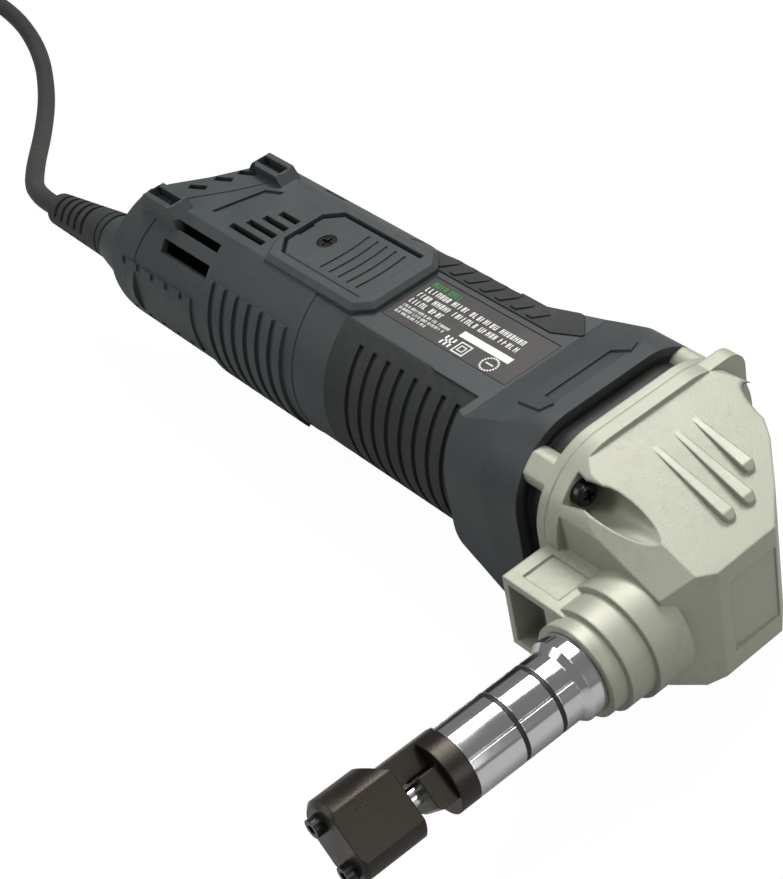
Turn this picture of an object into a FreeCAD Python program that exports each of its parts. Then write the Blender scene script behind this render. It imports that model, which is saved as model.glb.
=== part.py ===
import FreeCAD, Part
import math
import os

# Corded nibbler lying on one side: a barrel motor body along X, a cast right-angle head at its front, and a
# tool tube that points along -Y. Millimetres. Shapes are built about the motor axis (y = 0, z = 0) with the
# tool tube's axis at x = 0. They are moved when they are written, so that the origin is the middle of the
# flat underside of the gear case's rim and z = 0 is the surface that the nibbler lies on.
os.makedirs("parts", exist_ok=True)
Vec = FreeCAD.Vector
axis_x = Vec(1, 0, 0)
axis_y = Vec(0, 1, 0)
axis_z = Vec(0, 0, 1)
origin = Vec(0, 0, 0)

# ------------------------------------------------ driving sizes: body
flange_half = 36.0          # half the width of the square front of the body and of the head
flange_corner = 22.0        # its corner radius
barrel_radius = 32.5        # round barrel that the hand holds
barrel_flat = 27.3          # half the distance between its two flattened sides
cover_flat = 28.4           # the same on the rear cover
wall = 2.6                  # moulded wall
seam_x = -145.0             # joint between motor housing and rear cover
flare_start = -92.0         # the barrel widens into the square from here
flare_end = -54.0           # to here
rim_x = -40.0               # front rim of the motor housing
skin = 1.5                  # thickness of the rubber skins
guard_length = 39.0         # cord guard
guard_drop = 6.5            # degrees that it hangs down by
guard_radius = 8.5
guard_tip_radius = 5.8
nose_x = -258.6             # joint between rear cover and cord guard
nose_y = -19.8
hang_start = 4.0            # from the joint to where the cord starts to hang
pivot_x = nose_x - hang_start
cord_radius = 3.5

# ------------------------------------------------ driving sizes: head and tool
plate_rear = -32.0          # rear face of the flange plate
case_rear = -29.0           # rear face of the gear case
case_rim = -24.4            # front of its straight rim
case_front = 16.5
case_wall = 3.6
case_floor = -34.0          # side of the gear case that the tube comes out of
slope = 0.40                # how fast the case gets thinner towards its front
screw_half = 26.2           # half the spacing of the four head screws
screw_radius = 2.0
screw_head = 3.6
tube_radius = 10.0
tube_shoulder = 11.0        # tube inside the collar
tube_top = -33.5
tube_end = -95.5
collar_end = -55.0
ram_radius = 6.1
punch_radius = 2.5          # the punch takes out a strip twice this wide
crank_throw = 2.75          # half the stroke
sheet_gap = 5.2             # room for the sheet between punch guide and die
guide_tip = -107.2
die_end = -131.0
die_turn = -136.2           # the die's neck is turned this far about the tube
running_gap = 0.05          # radial clearance of a turning or sliding fit
body_gap = 0.3              # clearance between separate moving pieces

# ------------------------------------------------ driving sizes: motor and gears
shaft_radius = 4.0
stator_x0 = -134.0
stator_x1 = -92.0
stator_radius = 27.2
stator_flat = 23.6
rotor_radius = 16.7
air_gap = 0.5
commutator_radius = 11.5
commutator_x0 = -160.0
commutator_x1 = -143.5
brush_x0 = -156.0
brush_x1 = -148.0
brush_half = 3.2
bearing_bore = shaft_radius
front_bearing = 13.0        # outer radius
rear_bearing = 11.0
fan_radius = 23.5
fan_x0 = -64.0
fan_x1 = -52.0
motor_module = 0.65         # fast gear pair
motor_teeth = 9
layshaft_teeth = 36
crank_module = 0.95         # slow gear pair
pinion_teeth = 10
crank_teeth = 33
layshaft_radius = 3.0
crank_radius = 5.0
layshaft_y = motor_module * (motor_teeth + layshaft_teeth) / 2
crank_y = layshaft_y - crank_module * (pinion_teeth + crank_teeth) / 2

# origin of the finished model, seen from the shapes' own frame
rest_x = (case_rear + case_rim) / 2
lift = Vec(-rest_x, 0, flange_half)


# ------------------------------------------------ helpers
def box(x0, x1, y0, y1, z0, z1):
    return Part.makeBox(x1 - x0, y1 - y0, z1 - z0, Vec(x0, y0, z0))


def rod_x(radius, x0, x1, y=0.0, z=0.0):
    return Part.makeCylinder(radius, x1 - x0, Vec(x0, y, z), axis_x)


def rod_y(radius, y0, y1, x=0.0, z=0.0):
    return Part.makeCylinder(radius, y1 - y0, Vec(x, y0, z), axis_y)


def rod_z(radius, z0, z1, x=0.0, y=0.0):
    return Part.makeCylinder(radius, z1 - z0, Vec(x, y, z0), axis_z)


def cone_x(r0, r1, x0, x1, y=0.0, z=0.0):
    return Part.makeCone(r0, r1, x1 - x0, Vec(x0, y, z), axis_x)


def cone_y(r0, r1, y0, y1, x=0.0, z=0.0):
    return Part.makeCone(r0, r1, y1 - y0, Vec(x, y0, z), axis_y)


def tube_x(outer, inner, x0, x1, y=0.0, z=0.0):
    return rod_x(outer, x0, x1, y, z).cut(rod_x(inner, x0 - 1, x1 + 1, y, z))


def tube_y(outer, inner, y0, y1, x=0.0, z=0.0):
    return rod_y(outer, y0, y1, x, z).cut(rod_y(inner, y0 - 1, y1 + 1, x, z))


def join(*shapes):
    return shapes[0].multiFuse(list(shapes[1:])).removeSplitter()


def cut(shape, *tools):
    return shape.cut(list(tools))


def both(shape):
    """A shape and its mirror image on the other side of z = 0."""
    return [shape, shape.mirror(origin, axis_z)]


def prism(points, z0, z1):
    """Outline in X and Y, pulled along Z."""
    corners = [Vec(x, y, z0) for x, y in points]
    return Part.Face(Part.makePolygon(corners + corners[:1])).extrude(Vec(0, 0, z1 - z0))


def side_prism(points, y0, y1):
    """Outline in X and Z, pulled along Y."""
    corners = [Vec(x, y0, z) for x, z in points]
    return Part.Face(Part.makePolygon(corners + corners[:1])).extrude(Vec(0, y1 - y0, 0))


def square_wire(x, half, corner):
    """Rounded square across X."""
    flat = half - corner
    middle = flat + corner * math.sqrt(0.5)
    edges = []
    for k in range(4):
        turn = FreeCAD.Rotation(axis_x, 90 * k)
        a, b, c, d = [turn.multVec(Vec(x, y, z)) for y, z in
                      [(half, -flat), (half, flat), (middle, middle), (flat, half)]]
        edges.append(Part.LineSegment(a, b).toShape())
        edges.append(Part.Arc(b, c, d).toShape())
    return Part.Wire(edges)


def square_bar(x0, x1, half, corner):
    return Part.Face(square_wire(x0, half, corner)).extrude(Vec(x1 - x0, 0, 0))


def sector(x0, x1, r0, r1, a0, a1):
    """Part of a ring about the motor axis; angles in degrees from -Y towards +Z."""
    corners = [Vec(x0, -r0, 0), Vec(x1, -r0, 0), Vec(x1, -r1, 0), Vec(x0, -r1, 0)]
    face = Part.Face(Part.makePolygon(corners + corners[:1]))
    face.rotate(origin, axis_x, -a0)
    return face.revolve(origin, axis_x, -(a1 - a0))


def flat_sided(x0, x1, radius, flat):
    return rod_x(radius, x0, x1).common(box(x0, x1, -radius - 1, radius + 1, -flat, flat))


def gear(module, teeth, x0, x1, y, bore, phase=0.0):
    """Spur gear along X with straight flanks and generous play."""
    pitch = module * teeth / 2
    root = pitch - 1.15 * module
    tip = pitch + 0.8 * module
    step = 2 * math.pi / teeth
    points = []
    for k in range(teeth):
        middle = (k + phase) * step
        for radius, share in [(root, -0.31), (pitch, -0.185), (tip, -0.10),
                              (tip, 0.10), (pitch, 0.185), (root, 0.31)]:
            turn = middle + share * step
            points.append(Vec(x0, y + radius * math.cos(turn), radius * math.sin(turn)))
    wheel = Part.Face(Part.makePolygon(points + points[:1])).extrude(Vec(x1 - x0, 0, 0))
    return wheel.cut(rod_x(bore, x0 - 1, x1 + 1, y)) if bore else wheel


def corners_yz(distance):
    return [(y, z) for y in (-distance, distance) for z in (-distance, distance)]


def save(node, *shapes):
    solids = [solid for shape in shapes for solid in shape.Solids]
    shape = solids[0] if len(solids) == 1 else Part.makeCompound(solids)
    shape = shape.translated(lift)
    shape.exportStep(f"parts/{node}.step")
    print(f"{node}: {len(solids)} solid(s), {shape.Volume / 1000:.2f} cm3, valid {shape.isValid()}")


# ------------------------------------------------ motor housing
def housing_form(inset, x0=seam_x, x1=rim_x):
    """Outer form of the housing, made smaller by a wall: barrel, flare and square front."""
    radius = barrel_radius - inset
    flat = barrel_flat - inset
    half = flange_half - inset
    corner = flange_corner - inset
    straight = rod_x(radius, x0, flare_start)
    flare = Part.makeLoft([square_wire(flare_start, radius, radius - 0.02),
                           square_wire(flare_end, half, corner)], True, True)
    front = square_bar(flare_end, x1, half, corner)
    top = [(x0, flat), (-69.0, flat), (-57.0, flat + 4.6), (-46.0, half - 0.6), (x1, half)]
    envelope = side_prism(top + [(x, -z) for x, z in reversed(top)], -50, 50)
    return join(straight, flare, front).common(envelope)


pad_x0 = -176.0
pad_x1 = -124.0
pad_half = 17.0
pad_top = 30.4
cover_x0 = -172.4
cover_x1 = -130.8
cover_half = 12.2
cover_seat = 26.4
cover_top = 29.6
cover_play = 0.4


def cover_pad():
    """Raised surround of the brush cover, which the seam runs through."""
    nip = 5.0
    outline = [(pad_x0, -pad_half + 8), (pad_x0 + nip, -pad_half), (pad_x1 - nip, -pad_half),
               (pad_x1, -pad_half + nip), (pad_x1, pad_half - nip), (pad_x1 - nip, pad_half),
               (pad_x0 + nip, pad_half), (pad_x0, pad_half - 8)]
    pad = prism(outline, 22.0, pad_top)
    rim = [edge for edge in pad.Edges if edge.BoundBox.ZMin > pad_top - 0.01]
    return pad.makeChamfer(1.6, rim)


def cover_outline(z0, z1, grow):
    nip = 5.2
    x0 = cover_x0 - grow
    x1 = cover_x1 + grow
    half = cover_half + grow
    return prism([(x0, -half + nip), (x0 + nip, -half), (x1, -half), (x1, half),
                  (x0 + nip, half), (x0, half - nip)], z0, z1)


grip_x0 = -129.6
grip_x1 = -72.0
grip_angle = 56.0
groove_pitch = 6.0
groove_width = 1.9
groove_depth = 1.0
groove_half = 24.0
groove_margin = 4.0
strip_outline = [(-136, 17), (-128, 12.8), (-77, 12.8), (-68, 17.5), (-75, 24), (-130, 24)]
label_x0 = -123.2
label_x1 = -70.4
label_half = 10.5
label_depth = 0.7
slider_x0 = -118.0
slider_x1 = -102.0
slider_travel = 7.0
slider_neck = 3.0
slider_foot_top = barrel_radius - wall - 0.8      # clears the curved inside of the wall
slider_foot = 1.4


def grip_sector(r1):
    """Underside of the barrel, from under the grip's skin out to a radius."""
    return sector(grip_x0, grip_x1, barrel_radius - skin, r1, -grip_angle, grip_angle)


def housing_cavity():
    """Inside of the housing; it stays as narrow as the barrel under the whole grip."""
    belly = sector(flare_start, grip_x1 + wall, barrel_radius - wall, 2 * barrel_radius,
                   -grip_angle - 4, grip_angle + 4)
    return housing_form(wall, seam_x - 1, rim_x + 1).cut(belly)


def strip_skins():
    shell = housing_form(-0.4).cut(housing_form(skin, seam_x - 1, rim_x + 1))
    return [part for half in both(prism(strip_outline, 12, 40)) for part in [shell.common(half)]]


def make_grip():
    count = int((grip_x1 - grip_x0 - groove_margin) / groove_pitch)
    band = box(grip_x0, grip_x1, -2 * barrel_radius, 0, -groove_half, groove_half)
    grooves = []
    for k in range(count):
        x = grip_x1 - groove_margin - groove_pitch * k
        ring = tube_x(2 * barrel_radius, barrel_radius - groove_depth, x - groove_width, x)
        grooves.append(ring.common(band))
    save("belly_grip", cut(grip_sector(barrel_radius), *grooves))


def make_strips():
    strips = strip_skins()
    save("grip_strips", *strips)


def screw_bosses(x0, x1, radius):
    return [rod_x(radius, x0, x1, y, z) for y, z in corners_yz(screw_half)]


boss_radius = 5.4
boss_x0 = -56.0
thread_x0 = -53.0


def make_housing():
    outer = housing_form(0.0)
    inner = housing_cavity()
    pads = [pad.common(box(seam_x, 0, -40, 40, -40, 40)) for pad in both(cover_pad())]
    panel = prism([(-57, -16.8), (-57, 15.2), (-47, 18), (-45.5, 14), (-51.5, 12), (-51.5, -12),
                   (-45.5, -14), (-47, -18)], 20, 45)
    trims = [part.common(housing_form(-0.7)) for part in both(panel)]
    bosses = [boss.common(outer) for boss in screw_bosses(boss_x0, rim_x, boss_radius)]
    ribs = []
    for turn in (35, 145, 215, 325):
        rib = box(stator_x0 + 2, stator_x1 - 2, 24, barrel_radius - wall + 0.5, -1.6, 1.6)
        rib.rotate(origin, axis_x, turn)
        ribs.append(rib.cut(rod_x(stator_radius, stator_x0, stator_x1)))
    body = join(outer, *pads, *trims)
    body = join(cut(body, inner), *bosses, *ribs)
    pockets = both(cover_outline(cover_seat, 45, cover_play))
    label = box(label_x0 - 0.2, label_x1 + 0.2, -label_half - 0.2, label_half + 0.2,
                barrel_flat - label_depth, 45)
    slot = box(slider_x0 + 2 - 1, slider_x1 - 2 + slider_travel + 1, 20, 45,
               -slider_neck - body_gap, slider_neck + body_gap)
    holes = [rod_x(screw_radius, thread_x0, 0, y, z) for y, z in corners_yz(screw_half)]
    body = cut(body, *pockets, *both(label), slot, *holes, grip_sector(2 * barrel_radius), *strip_skins())
    save("motor_housing", body)
    save("label_plate", box(label_x0, label_x1, -label_half, label_half,
                            barrel_flat - label_depth, barrel_flat - 0.1))
    save("blank_plate", box(label_x0, label_x1, -label_half, label_half,
                            -barrel_flat + 0.1, -barrel_flat + label_depth))


def make_switch_slider():
    y0 = slider_foot_top - slider_foot
    neck = box(slider_x0 + 2, slider_x1 - 2, y0, barrel_radius + 1.4, -slider_neck, slider_neck)
    button = box(slider_x0, slider_x1, barrel_radius + body_gap, barrel_radius + 4.2, -8, 8)
    ridges = [box(slider_x0 + 1.5 + 2.6 * k, slider_x0 + 3 + 2.6 * k, barrel_radius + 4,
                  barrel_radius + 5, -7, 7)
              for k in range(5)]
    foot = box(slider_x0, slider_x1, y0, slider_foot_top, -5, 5)
    save("switch_slider", join(neck, button, foot, *ridges))


# ------------------------------------------------ rear cover
end_line = [(-212, 34), (-216, 11), (-222.5, 0), (-230.5, -10.5), (-238, -24.7), (-244, -34)]


def end_shifted(shift):
    return [(x + shift, y) for x, y in end_line]


def cover_form(inset, end_shift, x1=seam_x):
    outline = [(x1, -40), (x1, 40)] + [(end_shifted(end_shift)[0][0], 40)]
    outline += end_shifted(end_shift) + [(end_shifted(end_shift)[-1][0], -40)]
    plan = prism(outline, -45, 45)
    return flat_sided(-262, x1, barrel_radius + 0.2 - inset, cover_flat - inset).common(plan)


end_seam = 13.2             # moulded line that follows the slanted end
seam_width = 0.6
lug_boxes = [(-232.0, -211.0, -22.0, -14.0), (-217.0, -196.5, 10.2, 17.8)]
lug_top = 31.8
lug_nip = 1.5
nose_bore = 6.0
nose_bore_x = -243.0


def lug(x0, x1, y0, y1):
    """Bridge-shaped foot with a window through it."""
    side = [(x0, 20), (x0, lug_top - 6), (x0 + 4, lug_top), (x1 - 4, lug_top), (x1, lug_top - 5), (x1, 20)]
    plan = [(x0, y0 + lug_nip), (x0 + lug_nip, y0), (x1 - lug_nip, y0), (x1, y0 + lug_nip),
            (x1, y1 - lug_nip), (x1 - lug_nip, y1), (x0 + lug_nip, y1), (x0, y1 - lug_nip)]
    block = side_prism(side, y0, y1).common(prism(plan, 19, lug_top + 1))
    window = box(x0 + 4, x1 - 4, y0 + 2, y1 - 2, 26.5, lug_top + 1)
    return cut(block, window)


def cover_vents():
    """Air slots of one side."""
    slots = [sector(-212, -191, 24, 40, 49, 54), sector(-216, -191.5, 24, 40, 33, 41)]
    for y, x0, x1 in [(-12.0, -195, -178), (-7.5, -192, -178), (-3.0, -189.5, -178), (1.5, -187, -178)]:
        slots.append(box(x0, x1, y - 1.1, y + 1.1, 20, 45))
    slots.append(sector(-189.5, -179.5, 24, 40, 128, 133))
    return slots


def make_rear_cover():
    strip = end_shifted(end_seam) + list(reversed(end_shifted(end_seam - seam_width)))
    seam = prism(strip, -45, 45).cut(rod_x(barrel_radius - 0.4, -262, 0).common(
        box(-262, 0, -40, 40, -cover_flat + seam_width, cover_flat - seam_width)))
    outer = cover_form(0.0, 0.0).cut(seam)
    nose = cone_x(guard_radius, 15.0, nose_x, -228.0, nose_y)
    inner = cover_form(wall, 3.2, seam_x + 1)
    pads = [pad.common(box(pad_x0, seam_x, -40, 40, -40, 40)) for pad in both(cover_pad())]
    ribs = [sector(-188.5 + 6.1 * k - 1.8, -188.5 + 6.1 * k + 1.8, 30, barrel_radius + 1.2, -35, 35)
            for k in range(7)]
    panel = sector(-236, -197, 30, barrel_radius + 0.9, -18, 18).common(cover_form(-1.5, 0.0))
    notches = [box(-235 + 8 * k, -232.6 + 8 * k, -40, -20, z - 2, z + 2)
               for k in range(5) for z in (-barrel_radius * 0.31, barrel_radius * 0.31)]
    lugs = [lug(*corner) for corner in lug_boxes] + both(lug(*lug_boxes[1]))[1:]
    body = join(outer, nose, *pads, *ribs, cut(panel, *notches), *lugs)
    seat = join(rod_x(rear_bearing + 3, seat_x0, seat_x1), rod_x(31.5, seat_x0, seat_x0 + 2.4))
    seat = seat.common(cover_form(0.5, 0.0))
    body = join(cut(body, inner), seat)
    air = [rod_x(5.5, seat_x0 - 1, seat_x0 + 3, 21 * math.cos(t), 18 * math.sin(t))
           for t in [math.radians(45 + 90 * k) for k in range(4)]]
    bar = [(-206.5, -11.2), (-201.6, 6.4), (-195.2, 9.4), (-195.2, 7.6), (-200.2, 5.2), (-204.6, -11.2)]
    slots = []
    for x, y in [(-221.3, -7.7), (-217.9, 0.3), (-214.2, 7.2)]:
        slot = box(-3.2, 3.2, -1.1, 1.1, 20, 45)
        slot.rotate(origin, axis_z, 28)
        slots.append(slot.translated(Vec(x, y + 1.6, 0)))
    openings = [part for shape in cover_vents() + slots for part in both(shape)]
    openings += both(prism(bar, cover_flat - 0.9, 45)) + both(cover_outline(cover_seat, 45, cover_play))
    openings += [rod_x(rear_bearing, seat_x0 + 2, seat_x1 + 1), rod_x(6, seat_x0 - 1, seat_x1)] + air
    openings += [rod_x(nose_bore, nose_x - 1, nose_bore_x, nose_y), rod_x(cord_radius, nose_x, -220,
                                                                          nose_y)]
    openings += both(box(brush_x0 - 1.2, brush_x1 + 1.2, -brush_half - 1.2, brush_half + 1.2, 20, 45))
    openings += both(rod_z(cover_screw, 20, 45, cover_screw_x))
    save("rear_cover", cut(body, *openings))


seat_x0 = -175.0
seat_x1 = -165.5
cover_screw = 1.6
cover_screw_x = -161.4


def make_brush_covers():
    for node, flip in [("brush_cover_top", False), ("brush_cover_bottom", True)]:
        plate = cover_outline(cover_seat, cover_top, 0.0)
        edge = [e for e in plate.Edges if e.BoundBox.ZMin > cover_top - 0.01]
        plate = plate.makeChamfer(0.7, edge)
        lines = []
        for k in range(5):
            x = -134.5 - 4.2 * k
            arc = rod_z(60, cover_top - 0.5, cover_top + 1, x - 60).cut(rod_z(59.1, 0, 40, x - 60))
            lines.append(arc.common(box(-160, cover_x1, -9.5, 9.5, 20, 45)))
        slot = box(cover_x0 - 1, cover_x0 + 1.4, -3, 3, 20, 45)
        hole = [rod_z(cover_screw, 0, 45, cover_screw_x), rod_z(3.2, cover_top - 1.6, 45, cover_screw_x)]
        plate = cut(plate, slot, *lines, *hole)
        save(node, plate.mirror(origin, axis_z) if flip else plate)
    screw = join(rod_z(cover_screw, 23.5, cover_top - 1.6, cover_screw_x),
                 rod_z(3.0, cover_top - 1.6, cover_top - 0.2, cover_screw_x))
    cross = [box(cover_screw_x - 2, cover_screw_x + 2, -0.5, 0.5, cover_top - 1.0, 40),
             box(cover_screw_x - 0.5, cover_screw_x + 0.5, -2, 2, cover_top - 1.0, 40)]
    save("brush_cover_screws", *both(cut(screw, *cross)))


# ------------------------------------------------ cord guard, clamp and cord
def hung(shape):
    """Turned down about the point where the cord starts to hang."""
    shape.rotate(Vec(pivot_x, nose_y, 0), axis_y, -guard_drop)
    return shape


def make_cord_entry():
    end_x = nose_x - guard_length
    foot = 2.0
    spare = (guard_radius - guard_tip_radius) / guard_length * foot
    cone = hung(cone_x(guard_tip_radius, guard_radius + spare, end_x, nose_x + foot, nose_y))
    cone = cone.common(box(nose_x - 60, nose_x, nose_y - 20, nose_y + 20, -20, 20))
    slots = []
    for k in range(5):
        x = end_x + 5 + 5.0 * k
        for z0, z1 in ((1.2, 12.0), (-12.0, -1.2)):
            slot = box(x, x + 2.0, nose_y - 12, nose_y + 12, z0, z1)
            slots.append(hung(slot.cut(rod_x(cord_radius + 0.7, x - 1, x + 3, nose_y))))
    collar = hung(tube_x(guard_radius + 2, guard_radius - 0.7, nose_x - 3.4, nose_x - 2.2, nose_y))
    tail = cord_tube([(clamp_x0 + 13, nose_y, 0.0), (pivot_x, nose_y, 0.0), (tip_x, nose_y, tip_z)])
    guard = join(cone, rod_x(nose_bore, nose_x, nose_bore_x, nose_y))
    save("strain_relief", cut(guard, *slots, collar, tail))
    save("cord_tail", tail)
    clamp = cut(box(clamp_x0, clamp_x0 + 8, nose_y - 5.4, nose_y + 5.4, -12, 12),
                rod_x(cord_radius, clamp_x0 - 1, clamp_x0 + 9, nose_y),
                rod_y(1.5, nose_y - 6, nose_y + 6, clamp_x0 + 4, 8.5),
                rod_y(1.5, nose_y - 6, nose_y + 6, clamp_x0 + 4, -8.5))
    save("cord_clamp", clamp)
    screws = [join(rod_y(1.5, nose_y - 5.4, nose_y + 5.4, clamp_x0 + 4, z),
                   rod_y(2.6, nose_y + 5.4, nose_y + 7.4, clamp_x0 + 4, z)) for z in (-8.5, 8.5)]
    save("cord_clamp_screws", *screws)


clamp_x0 = -226.0
surface = -flange_half
# free stretch of the cord: out of the guard, down to the surface, and along it to the coil
drop = math.radians(guard_drop)
tip_x = pivot_x - (guard_length - hang_start) * math.cos(drop)
tip_z = -(guard_length - hang_start) * math.sin(drop)
first_run = 20.0
cord_rest = surface + cord_radius
cord_route = [
    (tip_x, nose_y, tip_z),
    (tip_x - first_run * math.cos(drop), nose_y, tip_z - first_run * math.sin(drop)),
    (-345.0, -5.0, -14.0),
    (-385.0, 20.5, -26.0),
    (-420.0, 42.5, cord_rest + 0.2),
    (-452.0, 59.5, cord_rest),
    (-488.0, 70.5, cord_rest),
    (-524.0, 73.0, cord_rest),
    (-551.0, 72.0, cord_rest),
]
coil_x = -574.0
coil_y = 25.0
coil_inner = 29.0
coil_outer = 53.0
coil_height = 29.0
coil_top = surface + coil_height
# last stretch: off the top of the coil and down to the plug
plug_x = -607.0
plug_y = -72.0
plug_z = surface + 13.0
end_route = [
    (plug_x, 32.0, coil_top - 5.0),
    (plug_x, 3.0, coil_top + cord_radius + 0.3),
    (plug_x, -20.0, coil_top + cord_radius),
    (plug_x, -48.0, plug_z),
    (plug_x, plug_y, plug_z),
]


def cord_path(points):
    """Straight runs joined by arcs that are tangent to them."""
    points = [Vec(*point) for point in points]
    edges = []
    start = points[0]
    for before, corner, after in zip(points, points[1:], points[2:]):
        back = (before - corner)
        ahead = (after - corner)
        half_turn = (math.pi - back.getAngle(ahead)) / 2
        reach = 0.45 * min(back.Length, ahead.Length)
        radius = reach / math.tan(half_turn)
        back.normalize()
        ahead.normalize()
        first = corner + back * reach
        last = corner + ahead * reach
        bisector = back + ahead
        bisector.normalize()
        middle = corner + bisector * (radius / math.cos(half_turn) - radius)
        edges.append(Part.LineSegment(start, first).toShape())
        edges.append(Part.Arc(first, middle, last).toShape())
        start = last
        print(f"cord bend radius {radius:.1f}")
    edges.append(Part.LineSegment(start, points[-1]).toShape())
    return Part.Wire(edges)


def cord_tube(route):
    path = cord_path(route)
    start = Vec(*route[0])
    section = Part.Wire(Part.makeCircle(cord_radius, start, Vec(*route[1]) - start))
    tube = path.makePipeShell([section], True, False)
    straight = math.pi * cord_radius ** 2 * path.Length
    print(f"cord length {path.Length:.1f}, volume ratio {tube.Volume / straight:.4f}")
    return tube


def make_cord():
    ring = rod_z(coil_outer, surface, surface + coil_height, coil_x, coil_y)
    edges = [edge for edge in ring.Edges if edge.Closed]
    ring = ring.makeFillet(8.0, edges)
    hole = rod_z(coil_inner, surface - 1, surface + coil_height + 1, coil_x, coil_y)
    coil = ring.cut(hole)
    save("cord_lead", cord_tube(cord_route).cut(coil), cord_tube(end_route).cut(coil))
    save("cord_coil", coil)


plug_radius = 17.0
plug_half = plug_z - surface
boot_length = 12.0
plug_length = 24.0
plug_pin_radius = 2.4
plug_pin_length = 19.0
plug_pin_spacing = 19.0
plug_pin_stem = 1.8         # part of the pin that is moulded in


def make_plug():
    """Flat two-pin plug that lies on the surface beside the coil, pins pointing along -Y."""
    shoulder = plug_y - boot_length
    neck_end = shoulder - 7.0
    face = shoulder - plug_length
    boot = cone_y(7.5, 5.0, shoulder, plug_y, plug_x, plug_z)
    neck = cone_y(plug_radius, 9.0, neck_end, shoulder, plug_x, plug_z)
    body = rod_y(plug_radius, face, neck_end, plug_x, plug_z)
    slab = box(plug_x - 20, plug_x + 20, face, plug_y, plug_z - plug_half, plug_z + plug_half)
    pins = []
    for side in (-1, 1):
        x = plug_x + side * plug_pin_spacing / 2
        pins.append(join(rod_y(plug_pin_radius, face - plug_pin_length, face, x, plug_z),
                         rod_y(plug_pin_stem, face, face + 6, x, plug_z)))
    save("mains_plug", cut(join(neck, body, boot).common(slab), *pins))
    save("plug_pins", *pins)


# ------------------------------------------------ motor
def make_stator():
    core = flat_sided(stator_x0, stator_x1, stator_radius, stator_flat)
    bore = rotor_radius + air_gap
    slots = [sector(stator_x0 - 1, stator_x1 + 1, bore - 1, 22.6, a0, a0 + 56) for a0 in (-28, 152)]
    save("stator_core", cut(core, rod_x(bore, stator_x0 - 1, stator_x1 + 1), *slots))
    coils = []
    for a0 in (-27.5, 152.5):
        coils.append(sector(stator_x0 - 7, stator_x1 + 7, bore + 0.4, 22.6, a0, a0 + 55))
    save("field_coils", *coils)


def make_rotor():
    save("armature_shaft", rod_x(shaft_radius, rear_bearing_x0, pinion_x0))
    core = tube_x(rotor_radius, shaft_radius, stator_x0 + 1, stator_x1 - 1)
    slots = []
    for k in range(12):
        slot = box(stator_x0, stator_x1, rotor_radius - 1.6, rotor_radius + 1, -0.7, 0.7)
        slot.rotate(origin, axis_x, 30 * k)
        slots.append(slot)
    save("rotor_core", cut(core, *slots))
    save("rotor_windings", tube_x(14.6, shaft_radius, commutator_x1, stator_x0 + 1),
         tube_x(14.6, shaft_radius, stator_x1 - 1, stator_x1 + 6))
    bars = []
    for k in range(24):
        bar = box(commutator_x0 - 1, commutator_x1 - 3, commutator_radius - 1.0, commutator_radius + 1,
                  -0.2, 0.2)
        bar.rotate(origin, axis_x, 15 * k)
        bars.append(bar)
    save("commutator", cut(tube_x(commutator_radius, shaft_radius, commutator_x0, commutator_x1), *bars))


def make_fan():
    hub = tube_x(8, shaft_radius, fan_x0, fan_x1)
    disc = tube_x(fan_radius, 7, fan_x1 - 2, fan_x1)
    blades = []
    for k in range(11):
        blade = box(fan_x0, fan_x1 - 1, 7, fan_radius - 0.6, -0.8, 0.8)
        blade.rotate(Vec(0, 7, 0), axis_x, 24)
        blade.rotate(origin, axis_x, 360 * k / 11)
        blades.append(blade.common(rod_x(fan_radius, fan_x0, fan_x1)))
    save("fan", join(hub, disc, *blades))
    ring = rod_x(50, fan_x0 - 3, fan_x0 - 1).common(housing_form(wall, seam_x - 1, rim_x + 1))
    save("fan_baffle", ring.cut(rod_x(18, fan_x0 - 9, fan_x1)))


front_bearing_x0 = -44.0
front_bearing_x1 = -36.0
rear_bearing_x0 = seat_x0 + 2.0
rear_bearing_x1 = seat_x1 - 0.5


def bearing(outer, x0, x1):
    """Outer race, inner race and balls of a deep-groove bearing."""
    ring = 0.26 * (outer - bearing_bore)
    middle = (outer + bearing_bore) / 2
    ball = middle - bearing_bore - ring - running_gap
    out = tube_x(outer, outer - ring + 0.02, x0, x1)
    inside = tube_x(bearing_bore + ring, bearing_bore, x0, x1)
    balls = []
    for k in range(8):
        turn = math.radians(45 * k)
        shift = middle + 0.08
        balls.append(Part.makeSphere(ball, Vec((x0 + x1) / 2, shift * math.cos(turn),
                                               shift * math.sin(turn))))
    return out, inside, balls


def make_bearings():
    front = bearing(front_bearing, front_bearing_x0, front_bearing_x1)
    rear = bearing(rear_bearing, rear_bearing_x0, rear_bearing_x1)
    save("bearing_outer_races", front[0], rear[0])
    save("bearing_inner_races", front[1], rear[1])
    save("bearing_balls", *front[2], *rear[2])


def make_brushes():
    holders = []
    brushes = []
    springs = []
    for flip in (1, -1):
        shell = box(brush_x0 - 1.2, brush_x1 + 1.2, -brush_half - 1.2, brush_half + 1.2, 13.5,
                    cover_seat - 0.3)
        hole = box(brush_x0, brush_x1, -brush_half, brush_half, 12, cover_seat - 1.3)
        brush = box(brush_x0 + 0.1, brush_x1 - 0.1, -brush_half + 0.1, brush_half - 0.1,
                    commutator_radius + 0.25, 21.0)
        middle = (brush_x0 + brush_x1) / 2
        spring = rod_z(2.4, 21.0, cover_seat - 1.3, middle).cut(rod_z(1.6, 20, 40, middle))
        for shapes, shape in [(holders, cut(shell, hole)), (brushes, brush), (springs, spring)]:
            shapes.append(shape if flip > 0 else shape.mirror(origin, axis_z))
    save("brush_holders", *holders)
    save("carbon_brushes", *brushes)
    save("brush_springs", *springs)


def make_electrics():
    save("switch_body", join(box(-206, -184, 8, 24, -9, 9), box(-201, -189, 24, 26.0, -3, 3)))
    save("suppressor", box(-206, -186, -8.5, 4, -7, 7))


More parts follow.
